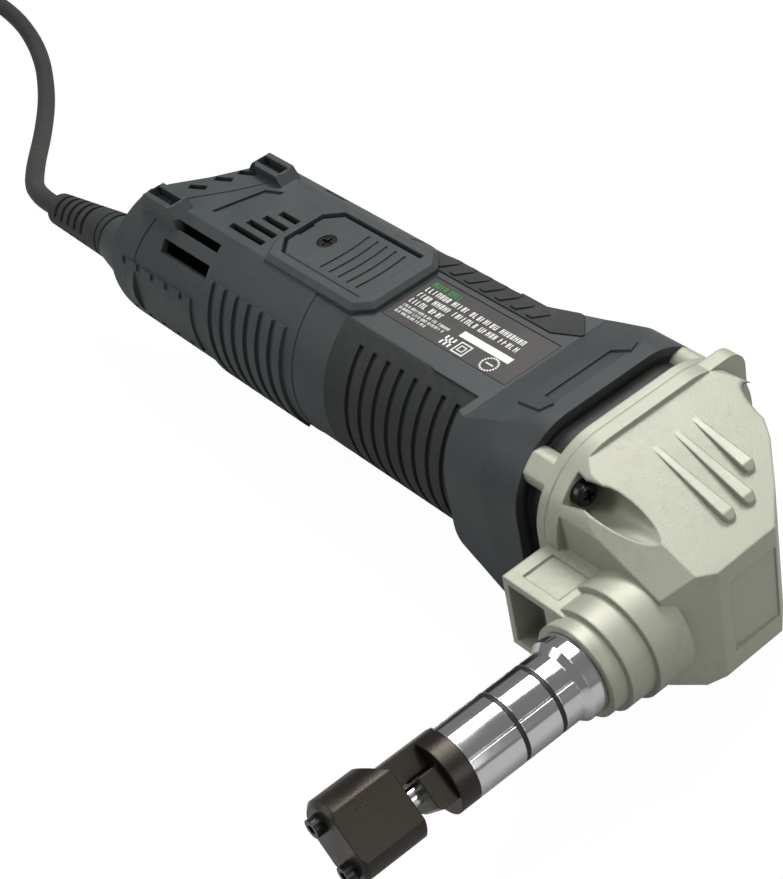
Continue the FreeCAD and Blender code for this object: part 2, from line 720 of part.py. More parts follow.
# ------------------------------------------------ head
plate_half = 31.5
plate_corner = 17.5
hub_radius = 16.5
spigot_x = -46.0


def make_bearing_plate():
    inner = flange_half - wall
    spigot = square_bar(spigot_x, rim_x, inner, flange_corner - wall)
    spigot = spigot.common(housing_form(wall, seam_x - 1, rim_x + 1))
    face = square_bar(rim_x, plate_rear, plate_half, plate_corner)
    body = join(spigot, face)
    pocket = square_bar(spigot_x - 1, plate_rear - 3, plate_half - 3.5, plate_corner - 3.5)
    pocket = pocket.cut(rod_x(hub_radius, spigot_x - 2, plate_rear))
    air = []
    for k in range(4):
        window = sector(spigot_x, plate_rear + 1, hub_radius + 3, 27.0, 90 * k - 24, 90 * k + 24)
        air.append(window)
    corner_cuts = screw_bosses(spigot_x - 1, plate_rear + 1, boss_radius)
    body = cut(body, pocket, *air, *corner_cuts, rod_x(front_bearing, front_bearing_x0, front_bearing_x1),
               rod_x(front_bearing, spigot_x - 1, front_bearing_x0), rod_x(9.5, spigot_x, plate_rear + 1))
    save("bearing_plate", body)


def make_flange_plate():
    plate = square_bar(plate_rear, case_rear, flange_half, flange_corner)
    outer = square_bar(rim_x, plate_rear, flange_half, flange_corner)
    tabs = [tab.common(outer) for tab in screw_bosses(rim_x, plate_rear, boss_radius)]
    holes = [rod_x(screw_radius, rim_x - 1, case_rear + 1, y, z) for y, z in corners_yz(screw_half)]
    holes += [rod_x(9.5, plate_rear - 1, case_rear + 1), rod_x(bush_radius, plate_rear - 1,
                                                               case_rear + 1, layshaft_y)]
    save("flange_plate", cut(join(plate, *tabs), *holes))


case_plan = [(-29, 34.2), (-12, 25.7), (-2, 19.5), (8, 10), (16, 1), (case_front, -20), (10, case_floor)]
case_bevel_y = 9.0
case_bevel_z = 6.0
boss_half = 12.0
boss_end = -51.5
ring_radius = 13.5
scoop_wide = 6.2            # conical recesses that the head screws are reached through
scoop_narrow = 2.2
scoop_end = 8.0
scoop_wall = 2.2


def case_top(x):
    return flange_half - slope * (x - case_rear - 1)


def case_form(inset):
    """Body of the gear case, which gets thinner on three sides towards its front."""
    behind = case_rear - 10
    outline = [(behind, case_plan[0][1])] + case_plan + [(behind, case_floor)]
    corners = [Vec(x, y, -flange_half) for x, y in outline]
    wire = Part.makePolygon(corners + corners[:1])
    if inset:
        wire = wire.makeOffset2D(-inset, 2)
    plan = Part.Face(wire).extrude(Vec(0, 0, 2 * flange_half))
    sections = []
    for x in (case_rear, case_front + 1):
        top = case_top(x) - inset
        knee = case_floor + case_bevel_y + inset / 2
        half = [(2 * flange_half, top), (knee, top), (case_floor, top - case_bevel_z)]
        points = [Vec(x, y, z) for y, z in half + [(y, -z) for y, z in reversed(half)]]
        sections.append(Part.makePolygon(points + points[:1]))
    wedge = Part.makeLoft(sections, True, True)
    return plan.common(wedge).common(
        square_bar(case_rear, case_front + 1, flange_half - inset, flange_corner - inset))


def scoop(y, z, grow):
    return cone_x(scoop_wide + grow, scoop_narrow + grow, case_rim, scoop_end, y, z)


def case_cavity():
    """Inside of the gear case, with walls left around the screws and their recesses."""
    walls = []
    for y, z in corners_yz(screw_half):
        walls.append(join(rod_x(scoop_wide + scoop_wall, case_rear - 1, case_rim, y, z),
                          scoop(y, z, scoop_wall)))
    return cut(case_form(case_wall), *walls)


def case_rib(y, x1):
    """Fin that starts level with the sloping top and stands out at its rounded front end."""
    side = [(rib_x0, case_top(rib_x0)), (x1 - 1.6, case_top(x1) + 2.8), (x1, case_top(x1) + 1.2),
            (x1, case_top(x1) - 2), (rib_x0, case_top(rib_x0) - 2)]
    plan = [(rib_x0, -0.9), (x1 - 1.6, -1.9), (x1 - 0.5, -1.5), (x1, -0.7), (x1, 0.7), (x1 - 0.5, 1.5),
            (x1 - 1.6, 1.9), (rib_x0, 0.9)]
    return side_prism(side, y - 3, y + 3).common(prism([(x, y + w) for x, w in plan], 0, flange_half))


rib_x0 = -17.0
rib_places = [(-6.4, 9.0), (1.2, 8.6), (8.0, 2.4)]
ear_half = 34.6
ear_corner = 6.0


def make_gear_case():
    outer = case_form(0.0)
    rim = square_bar(case_rear, case_rim, flange_half, flange_corner)
    boss = join(box(case_rear, 0, boss_end, case_floor + 2, -boss_half, boss_half),
                rod_y(boss_half, boss_end, case_floor + 2))
    collars = [rod_y(16.5, -42, case_floor + 4), rod_y(15.0, -50, -42), rod_y(13.5, collar_end, -50)]
    ribs = [rib for place in rib_places for rib in both(case_rib(*place))]
    ear = square_bar(case_rear, case_rim, ear_half, ear_corner)
    ears = both(ear.common(box(case_rear, case_rim, 18, 50, 18, 50)))
    body = join(outer, rim, boss, *collars, *ribs, *ears)
    pocket = box(-27, -13.5, boss_end - 1, boss_end + 9, -10, 10)
    web = prism([(-27, boss_end + 9), (-13.5, boss_end + 2.5), (-13.5, boss_end + 10), (-27,
                                                                                        boss_end + 10)], -10, 10)
    frames = []
    for side in both(box(-25, -2.5, -48, -37.5, boss_half - 0.8, boss_half + 5)):
        frames.append(side.cut(rod_y(16.6, -52, -30)))
    scoops = [scoop(y, z, 0.0) for y, z in corners_yz(screw_half)]
    front_panel = box(case_front - 0.9, case_front + 2, -16, 0.5, -12, 12)
    holes = [rod_x(screw_radius, case_rear - 1, case_rim + 1, y, z) for y, z in corners_yz(screw_half)]
    cavity = case_cavity()
    inner = case_floor + case_wall
    tube_hole = [rod_y(tube_shoulder + running_gap, collar_end - 1, inner + 1),
                 rod_y(ring_radius + body_gap, tube_top - 1.6, inner + 1)]
    body = cut(body, pocket.cut(web), *frames, *scoops, front_panel, *holes, cavity, *tube_hole)
    save("gear_case", body)


def make_head_screws():
    screws = []
    for y, z in corners_yz(screw_half):
        head = rod_x(screw_head, case_rim, case_rim + 3.4, y, z)
        edge = [e for e in head.Edges if e.Closed and e.BoundBox.XMin > case_rim + 3]
        head = head.makeFillet(1.3, edge)
        shank = rod_x(screw_radius, thread_x0, case_rim, y, z)
        cross = [box(case_rim + 1.6, case_rim + 5, y - 2, y + 2, z - 0.5, z + 0.5),
                 box(case_rim + 1.6, case_rim + 5, y - 0.5, y + 0.5, z - 2, z + 2)]
        screws.append(cut(join(head, shank), *cross))
    save("gear_case_screws", *screws)


pinion_x0 = -30.0
pinion_x1 = -22.8
wheel_x0 = -28.4
wheel_x1 = -23.6
small_x0 = -21.6
small_x1 = -14.6
crank_gear_x0 = -20.6
crank_gear_x1 = -15.6
carrier_x0 = -13.0
carrier_x1 = -6.0
bush_radius = 4.2
bush_x1 = carrier_x0 + 4.6
crank_bush_radius = 8.0
cheek_x1 = -4.2
pin_radius = 2.5
roller_radius = 4.0
crosshead_half = 3.5
crosshead_z = 10.0
crosshead_bar = 1.9
window_y = roller_radius + 2 * crank_throw + 0.25
window_z = roller_radius + crank_throw + 0.25
socket_top = crank_y - window_y - 5.7
socket_end = socket_top - 8.75
socket_radius = 8.0
head_radius = 5.0
neck_radius = 3.0
head_top = socket_top - 2.35
head_end = head_top - 3.3


def make_gear_train():
    save("motor_pinion", gear(motor_module, motor_teeth, pinion_x0, pinion_x1, 0.0, 0.0, 0.0))
    save("layshaft", rod_x(layshaft_radius, plate_rear + 0.3, bush_x1 - 0.3, layshaft_y))
    save("layshaft_gear", gear(motor_module, layshaft_teeth, wheel_x0, wheel_x1, layshaft_y,
                               layshaft_radius,
                               0.5))
    save("layshaft_pinion", gear(crank_module, pinion_teeth, small_x0, small_x1, layshaft_y,
                                 layshaft_radius, 0.0))
    shaft = rod_x(crank_radius, crank_gear_x0, carrier_x1, crank_y)
    cheek = rod_x(crank_bush_radius, carrier_x1 + body_gap, cheek_x1, crank_y)
    bridge = rod_x(crank_radius, carrier_x1, carrier_x1 + body_gap, crank_y)
    pin = rod_x(pin_radius, cheek_x1, crosshead_half, crank_y, crank_throw)
    save("crank_shaft", join(shaft, bridge, cheek, pin))
    save("crank_gear", gear(crank_module, crank_teeth, crank_gear_x0, crank_gear_x1, crank_y, crank_radius,
                            crank_phase))
    save("crank_roller", tube_x(roller_radius, pin_radius, -crosshead_half + 0.4, crosshead_half - 0.4,
                                crank_y, crank_throw))


# teeth of the crank gear meet gaps of the small pinion, which has a tooth at angle pi
crank_phase = 0.5


def make_carrier():
    plate = box(carrier_x0, carrier_x1, -60, 60, -60, 60).common(case_cavity())
    holes = [rod_x(crank_bush_radius, carrier_x0 - 1, carrier_x1 + 1, crank_y),
             rod_x(bush_radius, carrier_x0 - 1, bush_x1, layshaft_y)]
    save("carrier_plate", cut(plate, *holes, rod_y(socket_radius + 0.6, -60, socket_top + 6)))
    save("crank_bush", tube_x(crank_bush_radius, crank_radius + running_gap, carrier_x0, carrier_x1,
                              crank_y))
    save("layshaft_bushes",
         tube_x(bush_radius, layshaft_radius + running_gap, plate_rear, case_rear, layshaft_y),
         tube_x(bush_radius, layshaft_radius + running_gap, carrier_x0, bush_x1, layshaft_y))
    guide = box(carrier_x1, crosshead_half + 0.8, crank_y - 14, crank_y + 9,
                crosshead_z + running_gap, crosshead_z + 5.0)
    save("crosshead_guides", *both(guide))


def make_crosshead():
    top = crank_y + window_y + crosshead_bar
    frame = box(-crosshead_half, crosshead_half, socket_top, top, -crosshead_z, crosshead_z)
    window = box(-crosshead_half - 1, crosshead_half + 1, crank_y - window_y, crank_y + window_y,
                 -window_z, window_z)
    socket = rod_y(socket_radius, socket_end, socket_top + 1)
    room = head_radius + 0.2
    neck = neck_radius + 0.2
    cavity = join(rod_y(room, head_end - 0.1, head_top + 0.1), box(0, 12, head_end - 0.1, head_top + 0.1,
                                                                   -room, room))
    gate = join(rod_y(neck, socket_end - 1, head_top), box(0, 12, socket_end - 1, head_top, -neck, neck))
    save("crosshead", cut(join(frame, socket), window, cavity, gate))


# ------------------------------------------------ tool
ram_top = socket_end - 1.0
ram_end = -88.0
punch_top = -80.0
punch_end = -111.0
die_top = guide_tip - sheet_gap
flare_radius = 11.6


def make_tube():
    top = rod_y(tube_shoulder, collar_end - body_gap, tube_top)
    flare = rod_y(flare_radius, -59.5, collar_end - body_gap)
    taper = cone_y(tube_radius, flare_radius, -61.5, -59.5)
    body = join(top, flare, taper, rod_y(tube_radius, tube_end, -61.5))
    seat = tube_y(20, tube_shoulder - 0.8, tube_top - 1.5, tube_top + 1)
    rings = [tube_y(20, tube_radius - 0.7, y - 0.7, y + 0.7) for y in (-68.0, -80.0)]
    lines = []
    for k in range(4):
        line = box(tube_radius - 0.35, tube_radius + 2, tube_end - 1, -61.6, -0.3, 0.3)
        line.rotate(origin, axis_y, 45 + 90 * k)
        lines.append(line)
    body = cut(body, rod_y(ram_radius + running_gap, tube_end - 1, tube_top + 1), seat, *rings, *lines)
    save("die_tube", body)
    save("tube_retaining_ring", tube_y(ring_radius, tube_shoulder - 0.8, tube_top - 1.5, tube_top))
    save("tube_seal_rings", *[tube_y(tube_radius - 0.05, tube_radius - 0.7, y - 0.65,
                                     y + 0.65) for y in (-68.0, -80.0)])


def turned(shape):
    shape.rotate(origin, axis_y, die_turn)
    return shape


def make_die():
    """Built with the neck towards +X, then turned about the tube."""
    nose = rod_y(tube_radius, -101.5, tube_end)
    tongue = rod_y(tube_radius, guide_tip, -101.5).common(box(-6.2, 3.4, -120, 0, -6.5, 6.5))
    spigot = rod_y(ram_radius - 0.05, tube_end, tube_end + 4)
    angled = prism([(-12, -108), (-12, -99), (-4.5, -108)], -12, 12)
    guide = cut(join(nose, tongue, spigot), rod_y(punch_radius + running_gap, -120, tube_end + 5), angled,
                box(2.9, 12, -120, -94, -neck_half, neck_half), rod_x(1.75, -12, -2.6, -98.6))
    save("punch_guide", turned(guide))
    neck = box(3.7, 10.6, die_top - 3, tube_end, -neck_half, neck_half)
    head = join(rod_y(11.6, die_end + 1.2, die_top, 2.2), cone_y(10.4, 11.6, die_end, die_end + 1.2, 2.2))
    head = head.common(box(-9, 13.8, -140, -100, -9.2, 9.2))
    corner = prism([(8, die_top + 1), (16, die_top + 1), (16, die_top - 7)], -20, 20)
    well = rod_y(punch_radius + 0.8, -126, -118)
    chute = box(-12, 0, -125.6, -119.5, -2.6, 2.6)
    screw_holes = [rod_y(die_screw_head, die_end - 1, die_end + 2.4, x) for x in die_screw_x]
    screw_holes += [rod_y(1.5, die_end, die_end + 4.6, x) for x in die_screw_x]
    seat = rod_y(5.2, die_top - 5.6, die_top).common(box(-6, 3.7, -140, -100, -6, 6))
    holder = cut(join(head.cut(corner), neck), seat, well, chute, *screw_holes)
    save("die_holder", turned(holder))
    insert = seat.cut(rod_y(punch_radius + 0.2, -140, -100))
    save("die_insert", turned(insert))
    screws = []
    for x in die_screw_x:
        head = rod_y(die_screw_head, die_end - die_screw_proud, die_end + 2.4, x)
        shank = rod_y(1.5, die_end + 2.4, die_end + 4.6, x)
        socket = rod_y(1.3, die_end - die_screw_proud - 1, die_end - 0.6, x)
        screws.append(turned(cut(join(head, shank), socket)))
    save("die_screws", *screws)


neck_half = 2.25
die_screw_x = (8.2, -5.0)
die_screw_head = 2.6
die_screw_proud = 2.6


def make_ram():
    body = rod_y(ram_radius, ram_end, ram_top)
    body = join(body, rod_y(neck_radius, ram_top, head_end), rod_y(head_radius, head_end, head_top))
    body = cut(body, rod_y(punch_radius, ram_end - 1, punch_top), rod_x(1.5, 0, 12, -84.0))
    save("ram", body)
    save("punch", rod_y(punch_radius, punch_end, punch_top))
    save("punch_screw", rod_x(1.5, punch_radius, ram_radius - 0.3, -84.0))


make_housing()
make_grip()
make_strips()
make_switch_slider()
make_rear_cover()
make_brush_covers()
make_cord_entry()
make_cord()
make_plug()
make_stator()
make_rotor()
make_fan()
make_bearings()
make_brushes()
make_electrics()
make_bearing_plate()
make_flange_plate()
make_gear_case()
make_head_screws()
make_gear_train()
make_carrier()
make_crosshead()
make_tube()
make_die()
make_ram()
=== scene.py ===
import bpy
import math
import random
from mathutils import Matrix, Vector


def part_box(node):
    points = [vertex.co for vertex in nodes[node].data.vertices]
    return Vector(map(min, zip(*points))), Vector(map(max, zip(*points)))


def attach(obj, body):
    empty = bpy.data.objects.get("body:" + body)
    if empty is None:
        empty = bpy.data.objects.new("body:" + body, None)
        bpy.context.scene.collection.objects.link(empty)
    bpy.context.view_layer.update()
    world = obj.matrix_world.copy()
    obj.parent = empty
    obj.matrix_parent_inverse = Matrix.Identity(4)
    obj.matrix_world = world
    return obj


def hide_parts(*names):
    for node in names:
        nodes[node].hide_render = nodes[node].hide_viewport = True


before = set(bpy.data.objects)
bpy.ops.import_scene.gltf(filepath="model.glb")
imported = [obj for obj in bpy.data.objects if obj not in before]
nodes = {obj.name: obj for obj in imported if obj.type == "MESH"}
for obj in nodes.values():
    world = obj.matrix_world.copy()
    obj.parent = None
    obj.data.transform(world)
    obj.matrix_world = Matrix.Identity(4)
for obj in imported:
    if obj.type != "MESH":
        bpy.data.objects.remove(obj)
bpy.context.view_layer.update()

axisHeight = 0.036          # motor and tube axes lie this far above the floor
print("stage: frame loaded,", len(nodes), "nodes")


# camera, floor and light

cameraSettings = {
    "lens": 86.0,
    "place": (0.3156, -0.2729, 0.4162),
    "right": (0.63106, 0.75795, -0.16515),
    "up": (-0.41260, 0.50825, 0.75594),
    "back": (0.65690, -0.40890, 0.63347),
}


def makeCamera(settings):
    lens = bpy.data.cameras.new("camera")
    lens.lens = settings["lens"]
    lens.sensor_width = 36.0
    lens.clip_start = 0.02
    camera = bpy.data.objects.new("camera", lens)
    bpy.context.scene.collection.objects.link(camera)
    turn = Matrix([settings["right"], settings["up"], settings["back"]]).transposed()
    camera.matrix_world = Matrix.Translation(settings["place"]) @ turn.to_4x4()
    bpy.context.scene.camera = camera


studioSettings = {
    "floorSize": 8.0,
    "floorColour": (0.42, 0.42, 0.42),
    "floorGlow": 1.05,
    "floorShare": 0.93,
    "lights": [
        # name, place, width, height, power, colour
        ("key", (-0.30, 0.45, 0.95), 0.6, 0.45, 11.5, (1.0, 0.985, 0.96)),
        ("top", (0.15, -0.05, 1.10), 0.45, 0.45, 4.0, (1.0, 1.0, 1.0)),
        ("side", (-0.55, -0.70, 0.45), 0.30, 0.6, 2.2, (0.97, 0.985, 1.0)),
        ("front", (0.85, 0.10, 0.40), 0.22, 0.5, 1.6, (1.0, 0.99, 0.97)),
    ],
    "aim": (-0.05, -0.02, 0.03),
    "surround": 0.22,
    "backdrop": 1.0,
}


def makeStudio(settings):
    half = settings["floorSize"] / 2
    mesh = bpy.data.meshes.new("floor")
    corners = [(-half, -half, 0), (half, -half, 0), (half, half, 0), (-half, half, 0)]
    mesh.from_pydata(corners, [], [(0, 1, 2, 3)])
    floor = bpy.data.objects.new("floor", mesh)
    bpy.context.scene.collection.objects.link(floor)
    paper = bpy.data.materials.new("paleFloor")
    paper.use_nodes = True
    shader = paper.node_tree.nodes["Principled BSDF"]
    shader.inputs["Base Color"].default_value = (*settings["floorColour"], 1)
    shader.inputs["Roughness"].default_value = 0.9
    shader.inputs["Specular IOR Level"].default_value = 0.1
    glow = paper.node_tree.nodes.new("ShaderNodeEmission")
    glow.inputs["Strength"].default_value = settings["floorGlow"]
    rays = paper.node_tree.nodes.new("ShaderNodeLightPath")
    share = paper.node_tree.nodes.new("ShaderNodeMath")
    share.operation = "MULTIPLY"
    share.inputs[1].default_value = settings["floorShare"]
    blend = paper.node_tree.nodes.new("ShaderNodeMixShader")
    link = paper.node_tree.links.new
    link(rays.outputs["Is Camera Ray"], share.inputs[0])
    link(share.outputs["Value"], blend.inputs["Fac"])
    link(shader.outputs["BSDF"], blend.inputs[1])
    link(glow.outputs["Emission"], blend.inputs[2])
    link(blend.outputs["Shader"], paper.node_tree.nodes["Material Output"].inputs["Surface"])
    floor.data.materials.append(paper)
    for name, place, width, height, power, colour in settings["lights"]:
        lamp = bpy.data.lights.new(name, "AREA")
        lamp.shape = "RECTANGLE"
        lamp.size = width
        lamp.size_y = height
        lamp.energy = power
        lamp.color = colour
        holder = bpy.data.objects.new(name, lamp)
        bpy.context.scene.collection.objects.link(holder)
        holder.location = place
        aim = Vector(settings["aim"]) - Vector(place)
        holder.rotation_euler = aim.to_track_quat("-Z", "Y").to_euler()
    world = bpy.data.worlds.new("studio")
    bpy.context.scene.world = world
    world.use_nodes = True
    sky = world.node_tree.nodes["Background"]
    sky.inputs["Color"].default_value = (1, 1, 1, 1)
    seen = world.node_tree.nodes.new("ShaderNodeLightPath")
    level = world.node_tree.nodes.new("ShaderNodeMapRange")
    level.inputs["To Min"].default_value = settings["surround"]
    level.inputs["To Max"].default_value = settings["backdrop"]
    world.node_tree.links.new(seen.outputs["Is Camera Ray"], level.inputs["Value"])
    world.node_tree.links.new(level.outputs["Result"], sky.inputs["Strength"])
    bpy.context.scene.view_settings.view_transform = "Standard"


makeCamera(cameraSettings)
makeStudio(studioSettings)
print("stage: camera and studio")


# cord

cordSettings = {
    "diameter": 0.007,
    "route": [
        (-0.2707, -0.0198, 0.0320),
        (-0.2905, -0.0198, 0.0298),
        (-0.3183, -0.0050, 0.0220),
        (-0.3583, 0.0205, 0.0100),
        (-0.3933, 0.0425, 0.0037),
        (-0.4253, 0.0595, 0.0035),
        (-0.4613, 0.0705, 0.0035),
        (-0.4973, 0.0730, 0.0035),
        (-0.5243, 0.0720, 0.0035),
    ],
    "coilCentre": (-0.5473, 0.0250),
    "columns": (0.0475, 0.0403, 0.0331),    # radii of the three columns of turns
    "turns": 3,
    "turnCount": 9.25,
    "lowest": 0.0035,
    "lastHeight": 0.0325,
    "pitch": 0.00705,
    "stepsPerTurn": 15,
    "endRoute": [
        (-0.5803, 0.0030, 0.0330),
        (-0.5803, -0.0200, 0.0325),
        (-0.5803, -0.0480, 0.0130),
        (-0.5803, -0.0720, 0.0130),
    ],
}


def coilPoints(settings):
    centreX, centreY = settings["coilCentre"]
    outer, middle, inner = settings["columns"]
    low = settings["lowest"]
    rise = settings["turns"] * settings["pitch"]
    steps = settings["stepsPerTurn"]
    full = settings["turns"] * steps
    change = steps // 3
    legs = [(outer, outer, low, low + rise, full), (outer, middle, low + rise, low + rise, change),
            (middle, middle, low + rise, low, full), (middle, inner, low, low, change)]
    done = 2 * full + 2 * change
    last = round(settings["turnCount"] * steps - done)     # ends on the side away from the tool
    lift = steps // 2
    climb = settings["pitch"] * (last - lift) / steps
    legs += [(inner, inner, low, low + climb, last - lift),
             (inner, inner, low + climb, settings["lastHeight"], lift)]
    points = []
    count = 0
    for radius0, radius1, height0, height1, number in legs:
        for k in range(number):
            share = k / number
            angle = math.radians(90) + 2 * math.pi * (count + k) / steps
            radius = radius0 + (radius1 - radius0) * share
            height = height0 + (height1 - height0) * share
            points.append((centreX + radius * math.cos(angle), centreY + radius * math.sin(angle), height))
        count += number
    return points


def makeCord(settings):
    points = settings["route"] + coilPoints(settings) + settings["endRoute"]
    curve = bpy.data.curves.new("mainsCord", "CURVE")
    curve.dimensions = "3D"
    curve.bevel_depth = 1.0     # times each point's radius
    curve.bevel_resolution = 5
    curve.resolution_u = 8
    curve.use_fill_caps = True
    spline = curve.splines.new("NURBS")
    spline.points.add(len(points) - 1)
    for spot, point in zip(spline.points, points):
        spot.co = (*point, 1)
        spot.radius = settings["diameter"] / 2
    spline.order_u = 3
    spline.use_endpoint_u = True
    cord = bpy.data.objects.new("mainsCord", curve)
    bpy.context.scene.collection.objects.link(cord)
    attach(cord, "body")
    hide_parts("cord_lead", "cord_coil")
    return cord


def cordLength(cord):
    line = cord.data.copy()
    line.bevel_depth = 0
    probe = bpy.data.objects.new("probe", line)
    mesh = bpy.data.meshes.new_from_object(probe)
    spots = [vertex.co.copy() for vertex in mesh.vertices]
    bpy.data.objects.remove(probe)
    bpy.data.meshes.remove(mesh)
    return sum((b - a).length for a, b in zip(spots, spots[1:]))


cord = makeCord(cordSettings)
length = cordLength(cord)
print("stage: cord", round(length, 3), "m")


# shader groups

def place(tree, kind, **values):
    node = tree.nodes.new(kind)
    for name, value in values.items():
        setattr(node, name, value)
    return node


def grainGroup():
    # fine height and a slow mask, both in the object's own metres
    tree = bpy.data.node_groups.new("moulderGrain", "ShaderNodeTree")
    face = tree.interface
    face.new_socket("Scale", in_out="INPUT", socket_type="NodeSocketFloat")
    face.new_socket("Stretch", in_out="INPUT", socket_type="NodeSocketVector")
    face.new_socket("Height", in_out="OUTPUT", socket_type="NodeSocketFloat")
    face.new_socket("Mask", in_out="OUTPUT", socket_type="NodeSocketFloat")
    entry = place(tree, "NodeGroupInput")
    leave = place(tree, "NodeGroupOutput")
    spot = place(tree, "ShaderNodeTexCoord")
    size = place(tree, "ShaderNodeVectorMath", operation="MULTIPLY")
    fine = place(tree, "ShaderNodeTexNoise")
    fine.inputs["Detail"].default_value = 3.0
    slow = place(tree, "ShaderNodeTexNoise")
    slow.inputs["Detail"].default_value = 5.0
    slow.inputs["Scale"].default_value = 60.0
    join = tree.links.new
    join(spot.outputs["Object"], size.inputs[0])
    join(entry.outputs["Stretch"], size.inputs[1])
    join(size.outputs["Vector"], fine.inputs["Vector"])
    join(entry.outputs["Scale"], fine.inputs["Scale"])
    join(spot.outputs["Object"], slow.inputs["Vector"])
    join(fine.outputs["Fac"], leave.inputs["Height"])
    join(slow.outputs["Fac"], leave.inputs["Mask"])
    return tree


def grimeGroup():
    # blotches of dust or oil, stronger where two noises agree
    tree = bpy.data.node_groups.new("shopGrime", "ShaderNodeTree")
    face = tree.interface
    face.new_socket("Amount", in_out="INPUT", socket_type="NodeSocketFloat")
    face.new_socket("Mask", in_out="OUTPUT", socket_type="NodeSocketFloat")
    entry = place(tree, "NodeGroupInput")
    leave = place(tree, "NodeGroupOutput")
    spot = place(tree, "ShaderNodeTexCoord")
    broad = place(tree, "ShaderNodeTexNoise")
    broad.inputs["Scale"].default_value = 35.0
    broad.inputs["Detail"].default_value = 4.0
    speck = place(tree, "ShaderNodeTexNoise")
    speck.inputs["Scale"].default_value = 420.0
    speck.inputs["Detail"].default_value = 6.0
    both = place(tree, "ShaderNodeMath", operation="MULTIPLY")
    limit = place(tree, "ShaderNodeMapRange")
    limit.inputs["From Min"].default_value = 0.24
    limit.inputs["From Max"].default_value = 0.42
    amount = place(tree, "ShaderNodeMath", operation="MULTIPLY")
    join = tree.links.new
    join(spot.outputs["Object"], broad.inputs["Vector"])
    join(spot.outputs["Object"], speck.inputs["Vector"])
    join(broad.outputs["Fac"], both.inputs[0])
    join(speck.outputs["Fac"], both.inputs[1])
    join(both.outputs["Value"], limit.inputs["Value"])
    join(limit.outputs["Result"], amount.inputs[0])
    join(entry.outputs["Amount"], amount.inputs[1])
    join(amount.outputs["Value"], leave.inputs["Mask"])
    return tree


grain = grainGroup()
grime = grimeGroup()

# materials: one dictionary of values for each finish

